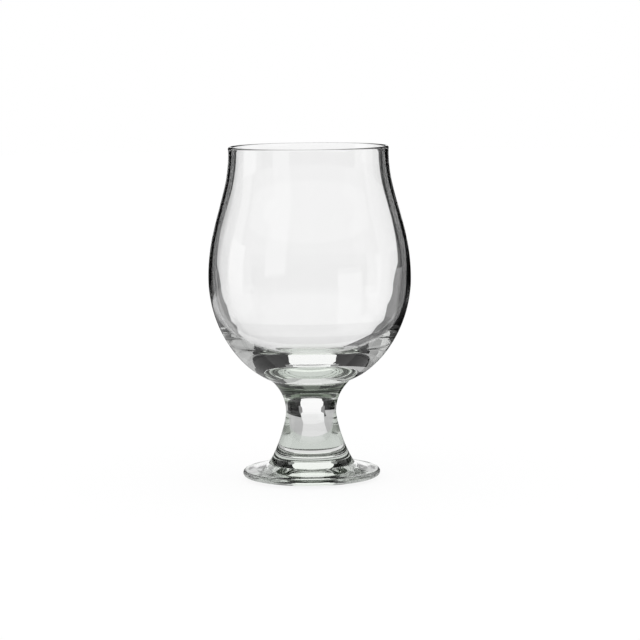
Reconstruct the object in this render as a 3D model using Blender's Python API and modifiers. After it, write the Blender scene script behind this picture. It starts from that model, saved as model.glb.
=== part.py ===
"""Tulip beer glass: a blown bowl, a pressed stem and a pressed foot, fused on one upright axis.

Metres, +Z up. The origin is on the table, under the middle of the foot.
"""

import math

import bpy

# Foot: a round disc that slopes down from the stem's seat to a rounded edge.
FOOT_DIAMETER = 0.06
FOOT_EDGE_THICKNESS = 0.0029
FOOT_SEAT_HEIGHT = 0.0055
FOOT_RING_WIDTH = 0.004
FOOT_HOLLOW_DEPTH = 0.0022

# Stem: waisted, with a round shoulder up to the bowl and a long flare down to the foot.
STEM_HEIGHT = 0.0361
STEM_BASE_DIAMETER = 0.0375
STEM_WAIST_DIAMETER = 0.0219
STEM_WAIST_HEIGHT = 0.0222
STEM_BASE_SPLAY = math.radians(34)

# Bowl: full belly, drawn-in neck and upright rim, a thin wall and a thick rounded bottom.
BOWL_HEIGHT = 0.1016
BOWL_BELLY_HEIGHT = 0.0444
BOWL_BELLY_DIAMETER = 0.088
BOWL_RIM_DIAMETER = 0.0695
BOWL_JOINT_DIAMETER = 0.0352
BOWL_UNDERSIDE_SLOPE = math.radians(22)
BOWL_RIM_LEAN = math.radians(2)
BOWL_BOTTOM_THICKNESS = 0.0066
RIM_WALL = 0.00145
BELLY_WALL = 0.00165
CAVITY_LIFT = 0.0036

# How far each curve runs on along its end's direction, as a share of that curve's own height
# or, for the bottom of the cavity, of the cavity's radius.
RIM_PULL = 0.36
SHOULDER_PULL = 0.44
BELLY_PULL = 0.43
UNDERSIDE_PULL = 0.37
CAVITY_SHOULDER_PULL = 0.37
CAVITY_SIDE_PULL = 0.362
CAVITY_BOTTOM_PULL = 0.928
WAIST_PULL = 0.12
FLARE_PULL = 0.39

# Room left between the faces of two fused pieces.
FUSED_GAP = 0.0003

# Facets round the axis and along each curve, and the angle above which an edge stays crisp.
TURN_STEPS = 64
CURVE_STEPS = 12
ROUND_STEPS = 6
CREASE_ANGLE = math.radians(25)
WELD_DISTANCE = 0.00001

GLASS_COLOUR = (0.93, 0.96, 0.95, 1.0)
GLASS_ROUGHNESS = 0.02
GLASS_INDEX = 1.52


def curve(start, start_pull, end_pull, end, steps=CURVE_STEPS):
    """Points of a cubic curve that leaves start and reaches end towards its two pull points."""
    points = []
    for step in range(steps + 1):
        t = step / steps
        weights = ((1 - t) ** 3, 3 * t * (1 - t) ** 2, 3 * t**2 * (1 - t), t**3)
        corners = (start, start_pull, end_pull, end)
        radius = sum(weight * corner[0] for weight, corner in zip(weights, corners))
        height = sum(weight * corner[1] for weight, corner in zip(weights, corners))
        points.append((radius, height))
    return points


def arc(centre, radius, start_angle, end_angle, steps=ROUND_STEPS):
    """Points of a circular arc, from one angle to the other, measured from straight outwards."""
    points = []
    for step in range(steps + 1):
        angle = start_angle + (end_angle - start_angle) * step / steps
        points.append((centre[0] + radius * math.cos(angle), centre[1] + radius * math.sin(angle)))
    return points


def foot_profile():
    """Seat, sloping top, rounded edge, flat ring to stand on and a shallow domed hollow underneath."""
    edge_radius = FOOT_EDGE_THICKNESS / 2
    edge_centre = (FOOT_DIAMETER / 2 - edge_radius, edge_radius)
    hollow_radius = edge_centre[0] - FOOT_RING_WIDTH
    outline = [(0, FOOT_SEAT_HEIGHT), (STEM_BASE_DIAMETER / 2, FOOT_SEAT_HEIGHT)]
    outline += arc(edge_centre, edge_radius, math.pi / 2, -math.pi / 2)
    outline += curve(
        (hollow_radius, 0),
        (2 / 3 * hollow_radius, 2 / 3 * FOOT_HOLLOW_DEPTH),
        (1 / 3 * hollow_radius, FOOT_HOLLOW_DEPTH),
        (0, FOOT_HOLLOW_DEPTH),
        ROUND_STEPS,
    )
    return outline


def stem_profile():
    """Flat top, round shoulder down to the waist, flare down to the base and flat underside."""
    top_radius = BOWL_JOINT_DIAMETER / 2
    waist_radius = STEM_WAIST_DIAMETER / 2
    base_radius = STEM_BASE_DIAMETER / 2
    rise = STEM_HEIGHT - STEM_WAIST_HEIGHT
    reach = top_radius - waist_radius
    shoulder_radius = (rise**2 + reach**2) / (2 * reach)
    shoulder_angle = math.atan2(rise, shoulder_radius - reach)
    shoulder_centre = (waist_radius + shoulder_radius, STEM_WAIST_HEIGHT)
    flare_pull = FLARE_PULL * STEM_WAIST_HEIGHT
    flare = curve(
        (waist_radius, STEM_WAIST_HEIGHT),
        (waist_radius, STEM_WAIST_HEIGHT * (1 - WAIST_PULL)),
        (base_radius - flare_pull * math.sin(STEM_BASE_SPLAY), flare_pull * math.cos(STEM_BASE_SPLAY)),
        (base_radius, 0),
    )
    shoulder = arc(shoulder_centre, shoulder_radius, math.pi - shoulder_angle, math.pi, CURVE_STEPS)
    return [(0, STEM_HEIGHT)] + shoulder + flare[1:] + [(0, 0)]


def neck_line(top_radius, wide_radius, wide_height, shoulder_pull):
    """The tulip's line, inside or outside, from the rim's bead down to where it is widest."""
    bead_height = BOWL_HEIGHT - RIM_WALL / 2
    fall = bead_height - wide_height
    rim_pull = RIM_PULL * fall
    return curve(
        (top_radius, bead_height),
        (top_radius - rim_pull * math.sin(BOWL_RIM_LEAN), bead_height - rim_pull * math.cos(BOWL_RIM_LEAN)),
        (wide_radius, wide_height + shoulder_pull * fall),
        (wide_radius, wide_height),
    )


def bowl_profile():
    """Inside from the bottom up, over the round rim, and down the outside to the flat joint."""
    belly_radius = BOWL_BELLY_DIAMETER / 2
    joint_radius = BOWL_JOINT_DIAMETER / 2
    rim_radius = BOWL_RIM_DIAMETER / 2
    underside_pull = UNDERSIDE_PULL * BOWL_BELLY_HEIGHT
    neck = neck_line(rim_radius, belly_radius, BOWL_BELLY_HEIGHT, SHOULDER_PULL)
    underside = curve(
        (belly_radius, BOWL_BELLY_HEIGHT),
        (belly_radius, BOWL_BELLY_HEIGHT * (1 - BELLY_PULL)),
        (
            joint_radius + underside_pull * math.cos(BOWL_UNDERSIDE_SLOPE),
            underside_pull * math.sin(BOWL_UNDERSIDE_SLOPE),
        ),
        (joint_radius, 0),
    )

    cavity_radius = belly_radius - BELLY_WALL
    cavity_height = BOWL_BELLY_HEIGHT + CAVITY_LIFT
    cavity_depth = cavity_height - BOWL_BOTTOM_THICKNESS
    cavity_neck = neck_line(rim_radius - RIM_WALL, cavity_radius, cavity_height, CAVITY_SHOULDER_PULL)
    cavity_bottom = curve(
        (cavity_radius, cavity_height),
        (cavity_radius, cavity_height - CAVITY_SIDE_PULL * cavity_depth),
        (CAVITY_BOTTOM_PULL * cavity_radius, BOWL_BOTTOM_THICKNESS),
        (0, BOWL_BOTTOM_THICKNESS),
    )
    inside = (cavity_neck + cavity_bottom[1:])[::-1]
    bead_centre = (rim_radius - RIM_WALL / 2, BOWL_HEIGHT - RIM_WALL / 2)
    bead = arc(bead_centre, RIM_WALL / 2, math.pi, 0)
    return inside + bead[1:-1] + neck + underside[1:] + [(0, 0)]


def clear_glass(name):
    """Clear soda-lime glass with a faint green-grey cast."""
    material = bpy.data.materials.new(name)
    material.use_nodes = True
    shader = material.node_tree.nodes["Principled BSDF"]
    shader.inputs["Base Color"].default_value = GLASS_COLOUR
    shader.inputs["Roughness"].default_value = GLASS_ROUGHNESS
    shader.inputs["Metallic"].default_value = 0
    shader.inputs["IOR"].default_value = GLASS_INDEX
    shader.inputs["Transmission Weight"].default_value = 1
    return material


def turned_piece(name, profile, base_height, parent, collection):
    """One piece: its profile turned once round the upright axis, standing at base_height."""
    edges = [(index, index + 1) for index in range(len(profile) - 1)]
    outline = bpy.data.meshes.new(name)
    outline.from_pydata([(radius, 0, height) for radius, height in profile], edges, [])
    piece = bpy.data.objects.new(name, outline)
    collection.objects.link(piece)
    turn = piece.modifiers.new("Turn", "SCREW")
    turn.axis = "Z"
    turn.angle = 2 * math.pi
    turn.steps = TURN_STEPS
    turn.render_steps = TURN_STEPS
    turn.use_merge_vertices = True
    turn.merge_threshold = WELD_DISTANCE

    graph = bpy.context.evaluated_depsgraph_get()
    turned = bpy.data.meshes.new_from_object(piece.evaluated_get(graph))
    turned.shade_smooth()
    turned.set_sharp_from_angle(angle=CREASE_ANGLE)
    turned.materials.append(clear_glass(name + "_glass"))
    piece.modifiers.clear()
    piece.data = turned
    turned.name = name
    bpy.data.meshes.remove(outline)

    piece.location = (0, 0, base_height)
    piece.parent = parent
    return piece


for leftover in list(bpy.data.objects):
    bpy.data.objects.remove(leftover)

glass = bpy.data.collections.new("tulip_beer_glass")
bpy.context.scene.collection.children.link(glass)
axis = bpy.data.objects.new("glass_axis", None)
glass.objects.link(axis)

stem_base = FOOT_SEAT_HEIGHT + FUSED_GAP
bowl_base = stem_base + STEM_HEIGHT + FUSED_GAP
turned_piece("foot", foot_profile(), 0, axis, glass)
turned_piece("stem", stem_profile(), stem_base, axis, glass)
turned_piece("bowl", bowl_profile(), bowl_base, axis, glass)
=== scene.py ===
import math

import bmesh
import bpy
from mathutils import Matrix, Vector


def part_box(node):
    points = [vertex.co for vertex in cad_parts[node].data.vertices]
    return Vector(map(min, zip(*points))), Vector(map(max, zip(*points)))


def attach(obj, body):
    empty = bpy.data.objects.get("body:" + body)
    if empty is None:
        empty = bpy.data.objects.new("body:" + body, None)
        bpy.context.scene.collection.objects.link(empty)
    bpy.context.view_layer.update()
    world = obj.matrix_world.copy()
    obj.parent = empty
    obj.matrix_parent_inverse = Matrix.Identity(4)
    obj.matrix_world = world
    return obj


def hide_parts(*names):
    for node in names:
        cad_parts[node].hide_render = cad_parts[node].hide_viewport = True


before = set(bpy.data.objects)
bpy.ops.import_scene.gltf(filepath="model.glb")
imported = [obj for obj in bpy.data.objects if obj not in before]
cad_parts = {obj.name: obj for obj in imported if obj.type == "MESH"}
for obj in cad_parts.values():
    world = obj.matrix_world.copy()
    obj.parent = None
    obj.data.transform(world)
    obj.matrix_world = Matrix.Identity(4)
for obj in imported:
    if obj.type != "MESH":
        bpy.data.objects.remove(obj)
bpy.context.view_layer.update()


# Foot: a thin round disc of pressed clear glass that slopes down from the stem to a rounded edge.
# It stands on a flat ring round a shallow hollow, and its flat seat is fused to the stem while hot.
foot_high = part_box("foot")[1]
stem_low, stem_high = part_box("stem")
foot_radius = foot_high.x
seat_radius = stem_high.x
seat_height = (foot_high.z + stem_low.z) / 2
foot_edge_radius = 0.00145
foot_ring_width = 0.004
foot_hollow_depth = 0.0022
foot_hollow_steps = 24
foot_tint = 1.0
fused_clearance = 0.00001
turn_steps = 192
weld_distance = 0.000001
face_tolerance = 0.000002
crisp_angle = math.radians(30)
glass_index = 1.52
glass_cast = (0.89, 0.95, 0.87, 1.0)
wave_scale = 80.0
wave_height = 0.00002


def bend(start, start_pull, end_pull, end, steps=48):
    """Points of a cubic curve between two (radius, height) points, towards its two pull points."""
    points = []
    for step in range(steps + 1):
        t = step / steps
        weights = ((1 - t) ** 3, 3 * t * (1 - t) ** 2, 3 * t**2 * (1 - t), t**3)
        corners = (start, start_pull, end_pull, end)
        points.append(tuple(sum(w * c[axis] for w, c in zip(weights, corners)) for axis in (0, 1)))
    return points


def rounding(centre, radius, first_angle, last_angle, steps=12):
    """Points of an arc, its angles measured from straight outwards."""
    points = []
    for step in range(steps + 1):
        angle = first_angle + (last_angle - first_angle) * step / steps
        points.append((centre[0] + radius * math.cos(angle), centre[1] + radius * math.sin(angle)))
    return points


def straight(start, end, steps=8):
    """Points along a straight stretch, so that the turned faces stay short."""
    return [
        (start[0] + (end[0] - start[0]) * step / steps, start[1] + (end[1] - start[1]) * step / steps)
        for step in range(steps + 1)
    ]


def clear_glass(name, tint_density):
    """Clear soda-lime glass: smooth, faintly uneven, with a green-grey cast that deepens with thickness."""
    material = bpy.data.materials.new(name)
    material.use_nodes = True
    nodes, links = material.node_tree.nodes, material.node_tree.links
    shader = nodes["Principled BSDF"]
    shader.inputs["Base Color"].default_value = (1.0, 1.0, 1.0, 1.0)
    shader.inputs["Roughness"].default_value = 0.0
    shader.inputs["IOR"].default_value = glass_index
    shader.inputs["Transmission Weight"].default_value = 1.0
    place = nodes.new("ShaderNodeTexCoord")
    waves = nodes.new("ShaderNodeTexNoise")
    waves.inputs["Scale"].default_value = wave_scale
    waves.inputs["Detail"].default_value = 1.0
    unevenness = nodes.new("ShaderNodeBump")
    unevenness.inputs["Strength"].default_value = 1.0
    unevenness.inputs["Distance"].default_value = wave_height
    links.new(place.outputs["Object"], waves.inputs["Vector"])
    links.new(waves.outputs["Fac"], unevenness.inputs["Height"])
    links.new(unevenness.outputs["Normal"], shader.inputs["Normal"])
    depth_tint = nodes.new("ShaderNodeVolumeAbsorption")
    depth_tint.inputs["Color"].default_value = glass_cast
    depth_tint.inputs["Density"].default_value = tint_density
    links.new(depth_tint.outputs["Volume"], nodes["Material Output"].inputs["Volume"])
    return material


def fused_glass(name, tint_density):
    """The face where two pieces have run together: nothing bends or shines there."""
    material = bpy.data.materials.new(name)
    material.use_nodes = True
    nodes, links = material.node_tree.nodes, material.node_tree.links
    nodes.remove(nodes["Principled BSDF"])
    through = nodes.new("ShaderNodeBsdfTransparent")
    depth_tint = nodes.new("ShaderNodeVolumeAbsorption")
    depth_tint.inputs["Color"].default_value = glass_cast
    depth_tint.inputs["Density"].default_value = tint_density
    links.new(through.outputs["BSDF"], nodes["Material Output"].inputs["Surface"])
    links.new(depth_tint.outputs["Volume"], nodes["Material Output"].inputs["Volume"])
    return material


def turned_glass(name, outline, fused_heights, tint_density):
    """A closed outline, from the axis round to the axis, spun once; its fused faces see through."""
    shape = bmesh.new()
    points = [shape.verts.new((radius, 0, height)) for radius, height in outline]
    lines = [shape.edges.new(pair) for pair in zip(points, points[1:])]
    bmesh.ops.spin(
        shape, geom=points + lines, cent=(0, 0, 0), axis=(0, 0, 1),
        angle=math.tau, steps=turn_steps, use_merge=True,
    )
    bmesh.ops.remove_doubles(shape, verts=shape.verts, dist=weld_distance)
    bmesh.ops.recalc_face_normals(shape, faces=shape.faces)
    for face in shape.faces:
        for height in fused_heights:
            if all(abs(corner.co.z - height) < face_tolerance for corner in face.verts):
                face.material_index = 1
    mesh = bpy.data.meshes.new(name)
    shape.to_mesh(mesh)
    shape.free()
    mesh.shade_smooth()
    mesh.set_sharp_from_angle(angle=crisp_angle)
    mesh.materials.append(clear_glass(name + "_clear_glass", tint_density))
    mesh.materials.append(fused_glass(name + "_fused_glass", tint_density))
    piece = bpy.data.objects.new(name, mesh)
    bpy.context.scene.collection.objects.link(piece)
    return piece


foot_seat = seat_height - fused_clearance
edge_centre = (foot_radius - foot_edge_radius, foot_edge_radius)
ring_inside = edge_centre[0] - foot_ring_width
foot_outline = straight((0, foot_seat), (seat_radius, foot_seat))
foot_outline += straight((seat_radius, foot_seat), (edge_centre[0], 2 * foot_edge_radius))[1:]
foot_outline += rounding(edge_centre, foot_edge_radius, math.pi / 2, -math.pi / 2)[1:]
# Pulls at thirds of the way make the hollow a parabola.
foot_outline += bend(
    (ring_inside, 0),
    (2 / 3 * ring_inside, 2 / 3 * foot_hollow_depth),
    (1 / 3 * ring_inside, foot_hollow_depth),
    (0, foot_hollow_depth),
    foot_hollow_steps,
)
foot = turned_glass("foot_glass", foot_outline, [foot_seat], foot_tint)
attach(foot, "root")
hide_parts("foot")


# Stem: the short waisted leg of pressed clear glass, drawn in between a round shoulder and a long flare.
# Its top is fused to the bowl and its base to the foot, so all three carry light as one piece of glass.
bowl_low, bowl_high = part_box("bowl")
crease_height = (stem_high.z + bowl_low.z) / 2
crease_radius = 0.0176
waist_radius = 0.01095
waist_height = 0.028
waist_pull = 0.0027
flare_pull = 0.0086
base_splay = math.radians(34)
stem_tint = 2.0
shoulder_steps = 32
stem_top = crease_height - fused_clearance
stem_base = seat_height + fused_clearance
shoulder_rise = stem_top - waist_height
shoulder_reach = crease_radius - waist_radius
shoulder_radius = (shoulder_rise**2 + shoulder_reach**2) / (2 * shoulder_reach)
shoulder_angle = math.atan2(shoulder_rise, shoulder_radius - shoulder_reach)
stem_outline = straight((0, stem_top), (crease_radius, stem_top))
stem_outline += rounding(
    (waist_radius + shoulder_radius, waist_height),
    shoulder_radius,
    math.pi - shoulder_angle,
    math.pi,
    shoulder_steps,
)[1:]
stem_outline += bend(
    (waist_radius, waist_height),
    (waist_radius, waist_height - waist_pull),
    (seat_radius - flare_pull * math.sin(base_splay), stem_base + flare_pull * math.cos(base_splay)),
    (seat_radius, stem_base),
)[1:]
stem_outline += straight((seat_radius, stem_base), (0, stem_base))[1:]
stem = turned_glass("stem_glass", stem_outline, [stem_top, stem_base], stem_tint)
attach(stem, "root")
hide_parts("stem")


# Bowl: the blown tulip, full at the belly, drawn in at the neck and fire-polished at the upright rim.
# Its wall is about 1.5 mm, and thickens below the belly into the heavy bottom that is fused to the stem.
belly_radius = bowl_high.x
belly_height = 0.0866
rim_height = bowl_high.z
rim_radius = 0.03475
rim_wall = 0.00145
cavity_radius = 0.04235
cavity_belly_height = 0.0902
cavity_floor = 0.0488
underside_slope = math.radians(22)
rim_lean = math.radians(2)
rim_pull = 0.36
cavity_neck_pull = 0.37
cavity_side_pull = 0.0150
cavity_bottom_reach = 0.0393
outer_neck_pull = 0.44
belly_pull = 0.43
underside_share = 0.37
bowl_tint = 2.0
fine_steps = 64
cavity_steps = 96
bowl_joint = crease_height + fused_clearance
bead_height = rim_height - rim_wall / 2


def neck_line(top_radius, wide_radius, wide_height, wide_pull):
    """The tulip's line from the rim down to where it is widest."""
    fall = bead_height - wide_height
    return bend(
        (top_radius, bead_height),
        (
            top_radius - rim_pull * fall * math.sin(rim_lean),
            bead_height - rim_pull * fall * math.cos(rim_lean),
        ),
        (wide_radius, wide_height + wide_pull * fall),
        (wide_radius, wide_height),
        fine_steps,
    )


underside_depth = belly_height - bowl_joint
underside_pull = underside_share * underside_depth
inside = neck_line(rim_radius - rim_wall, cavity_radius, cavity_belly_height, cavity_neck_pull)
inside += bend(
    (cavity_radius, cavity_belly_height),
    (cavity_radius, cavity_belly_height - cavity_side_pull),
    (cavity_bottom_reach, cavity_floor),
    (0, cavity_floor),
    cavity_steps,
)[1:]
bowl_outline = inside[::-1]
bowl_outline += rounding((rim_radius - rim_wall / 2, bead_height), rim_wall / 2, math.pi, 0)[1:-1]
bowl_outline += neck_line(rim_radius, belly_radius, belly_height, outer_neck_pull)
bowl_outline += bend(
    (belly_radius, belly_height),
    (belly_radius, belly_height - belly_pull * underside_depth),
    (
        crease_radius + underside_pull * math.cos(underside_slope),
        bowl_joint + underside_pull * math.sin(underside_slope),
    ),
    (crease_radius, bowl_joint),
    fine_steps,
)[1:]
bowl_outline += straight((crease_radius, bowl_joint), (0, bowl_joint))[1:]
bowl = turned_glass("bowl_glass", bowl_outline, [bowl_joint], bowl_tint)
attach(bowl, "root")
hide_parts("bowl")


# Table and studio: a pale table under a plain white surround, and a ring of cards close round the glass.
# The glass alone meets the cards: a narrow white one behind it, black beside that, pale ones further round.
table_radius = 3.0
table_sides = 96
table_height = -0.0012
table_glow = 0.88
table_matt = 0.13
back_radius = 0.25
back_edge_radius = back_radius + 0.002
ring_radius = 0.45
inner_radius = ring_radius - 0.003
outer_radius = ring_radius + 0.004
card_base = -0.002
side_height = 0.15
front_height = 0.25
ring_height = 0.55
roof_height = 1.2
# Radius and green cast of the painted shadow of the foot: the floor under it is painted dimmer and a little
# green, as light through the glass would leave it.
painted_shadow_radius = 0.032
painted_shadow_cast = (0.98, 1.03, 0.98)
strip_near = 0.055
foot_floor = 0.075
strip_middle = 0.13
side_floor = 0.165
strip_far = 0.20
floor_layers = (-0.0011, -0.0010, -0.0009, -0.00085, -0.0008, -0.0007)


def glow(name, level, matt, cast=(1.0, 1.0, 1.0)):
    """A plain surface of its own brightness, which also takes some of the room's light."""
    material = bpy.data.materials.new(name)
    material.use_nodes = True
    nodes, links = material.node_tree.nodes, material.node_tree.links
    nodes.remove(nodes["Principled BSDF"])
    own = nodes.new("ShaderNodeEmission")
    own.inputs["Color"].default_value = (*(level * channel for channel in cast), 1.0)
    cloth = nodes.new("ShaderNodeBsdfDiffuse")
    cloth.inputs["Color"].default_value = (matt, matt, matt, 1.0)
    both = nodes.new("ShaderNodeAddShader")
    links.new(own.outputs["Emission"], both.inputs[0])
    links.new(cloth.outputs["BSDF"], both.inputs[1])
    links.new(both.outputs["Shader"], nodes["Material Output"].inputs["Surface"])
    return material


def staged(name, shape, material):
    """A thing of the studio, not of the glass."""
    mesh = bpy.data.meshes.new(name)
    shape.to_mesh(mesh)
    shape.free()
    mesh.materials.append(material)
    thing = bpy.data.objects.new(name, mesh)
    bpy.context.scene.collection.objects.link(thing)
    return thing


def disc(radius, height, sides):
    """A flat round sheet."""
    shape = bmesh.new()
    bmesh.ops.create_circle(shape, cap_ends=True, segments=sides, radius=radius)
    bmesh.ops.translate(shape, verts=shape.verts, vec=(0, 0, height))
    return shape


def card(name, level, rows, spots, cast=(1.0, 1.0, 1.0), steps=24):
    """A card that only the glass sees. Each row is a first and a last bearing, 0 straight behind the glass
    and positive to its right; its spot is the row's radius and height."""
    shape = bmesh.new()
    lines = []
    for (first, last), (radius, height) in zip(rows, spots):
        bearings = [math.radians(first + (last - first) * step / steps) for step in range(steps + 1)]
        lines.append([
            shape.verts.new((radius * math.sin(bearing), radius * math.cos(bearing), height))
            for bearing in bearings
        ])
    for low, high in zip(lines, lines[1:]):
        for near, far, far_above, above in zip(low, low[1:], high[1:], high):
            shape.faces.new((near, far, far_above, above))
    thing = staged(name, shape, glow(name, level, 0.0, cast))
    thing.visible_camera = False
    thing.visible_diffuse = False
    thing.visible_shadow = False
    return thing


def upright(name, level, first, last, low, high, radius=ring_radius):
    """A standing card, curved round the glass, between two bearings and two heights."""
    return card(name, level, [(first, last)] * 2, [(radius, low), (radius, high)])


def flat(name, level, first, last, inner, outer, height, cast=(1.0, 1.0, 1.0)):
    """A lying card, between two bearings and two radii; where floor cards overlap, the higher is seen."""
    return card(name, level, [(first, last)] * 2, [(inner, height), (outer, height)], cast)


table_white = glow("table_white", table_glow, table_matt)
table = staged("table", disc(table_radius, table_height, table_sides), table_white)
table.visible_transmission = False
table.visible_glossy = False

card(
    "back_card", 1.0,
    [
        (-15.4, 12.8), (-15.6, 13.2), (-17.6, 14.6), (-18.7, 15.4),
        (-18.7, 15.4), (-16.5, 14.2), (-17, 14.8), (-12, 9),
    ],
    [(back_radius, height) for height in (card_base, 0.036, 0.048, 0.06, 0.10, 0.118, 0.155, 0.168)],
)
upright("back_card_edges", 0.25, -22, 19, card_base, 0.055, back_edge_radius)
upright("back_top", 0.15, -8, 6, 0.26, 0.52)
upright("right_low", 0.5, 57, 100, card_base, side_height)
upright("right_high", 0.4, 57, 95, side_height, 2 * side_height)
upright("left_low", 0.4, -100, -60, card_base, side_height)
upright("left_high", 0.5, -95, -60, side_height, 2 * side_height)
upright("side_card", 0.8, -102, -78, card_base, 0.19, inner_radius)
upright("front_low", 0.06, 100, 260, card_base, front_height)
upright("front_high", 0.3, 100, 260, front_height, ring_height)
upright("front_card", 0.8, 121, 149, card_base, 0.10, inner_radius)
upright("dark_ring", 0.004, 0, 360, card_base, ring_height, outer_radius)
upright("high_ring", 0.2, 0, 360, ring_height, roof_height, outer_radius)
flat("roof", 0.05, 0, 360, 0.0, outer_radius, roof_height)

flat("floor_dark", 0.015, 0, 360, 0.0, outer_radius, floor_layers[0])
flat("floor_foot_back", 0.5, -60, 60, 0.0, foot_floor, floor_layers[1])
flat("floor_foot_sides", 0.45, 60, 300, 0.0, foot_floor, floor_layers[1])
flat("floor_front", 0.4, 85, 275, foot_floor, ring_radius, floor_layers[1])
flat("floor_foot_front", 0.8, 105, 255, 0.0, foot_floor, floor_layers[2])
flat("floor_right", 0.55, 60, 130, side_floor, ring_radius, floor_layers[2])
flat("floor_right_near", 0.85, 100, 140, foot_floor, side_floor, floor_layers[2])
flat("floor_left", 0.6, -120, -60, side_floor, ring_radius, floor_layers[2])
flat("floor_back_left", 0.5, -76, -23, 0.07, ring_radius, floor_layers[3])
flat("floor_front_right", 0.8, 121, 149, 0.10, ring_radius, floor_layers[4])
card(
    "floor_strip_edges", 0.25,
    [(-22, 17), (-22, 18), (-22, 19)],
    [(radius, floor_layers[4]) for radius in (strip_middle, strip_far, back_radius)],
)
# Painted shadow: the floor right under the foot, seen only through the glass, glows dimmer and a little
# green in place of the shade the glass itself would cast.
flat("floor_painted_foot_shadow", 0.64, 0, 360, 0.0, painted_shadow_radius, floor_layers[5], painted_shadow_cast)
card(
    "floor_strip_near", 0.78,
    [(-15.5, 7), (-17, 9)],
    [(radius, floor_layers[5]) for radius in (painted_shadow_radius, strip_near)],
)
card(
    "floor_strip_middle", 0.87,
    [(-17, 9), (-19, 13), (-20.5, 15.3)],
    [(radius, floor_layers[5]) for radius in (strip_near, foot_floor, strip_middle)],
)
card(
    "floor_strip", 0.93,
    [(-20.5, 15.3), (-15.5, 12.8), (-15.4, 12.8)],
    [(radius, floor_layers[5]) for radius in (strip_middle, strip_far, back_radius)],
)

surround = bpy.data.worlds.new("white_surround")
surround.use_nodes = True
surround.node_tree.nodes["Background"].inputs["Color"].default_value = (1.0, 1.0, 1.0, 1.0)
surround.node_tree.nodes["Background"].inputs["Strength"].default_value = 1.0
bpy.context.scene.world = surround


# Camera: a long lens a little above the rim, looking down on the glass as the photograph does.
# It leans by a fraction of a degree, and the light paths are long enough for all the walls of the glass.
camera_data = bpy.data.cameras.new("camera")
camera_data.sensor_width = 36
camera_data.lens = 143.08
camera_data.clip_start = 0.01
camera = bpy.data.objects.new("camera", camera_data)
bpy.context.scene.collection.objects.link(camera)
camera_place = (0.0043, -1.10, 0.1941)
camera_pitch = math.radians(6.533)
camera_roll = math.radians(-0.6)
camera.matrix_world = (
    Matrix.Translation(camera_place)
    @ Matrix.Rotation(math.pi / 2 - camera_pitch, 4, "X")
    @ Matrix.Rotation(camera_roll, 4, "Z")
)
bpy.context.scene.camera = camera

light_bounces = 32
mirror_bounces = 16
scene = bpy.context.scene
scene.view_settings.view_transform = "Standard"
scene.cycles.max_bounces = light_bounces
scene.cycles.transmission_bounces = light_bounces
scene.cycles.glossy_bounces = mirror_bounces
scene.cycles.transparent_max_bounces = light_bounces
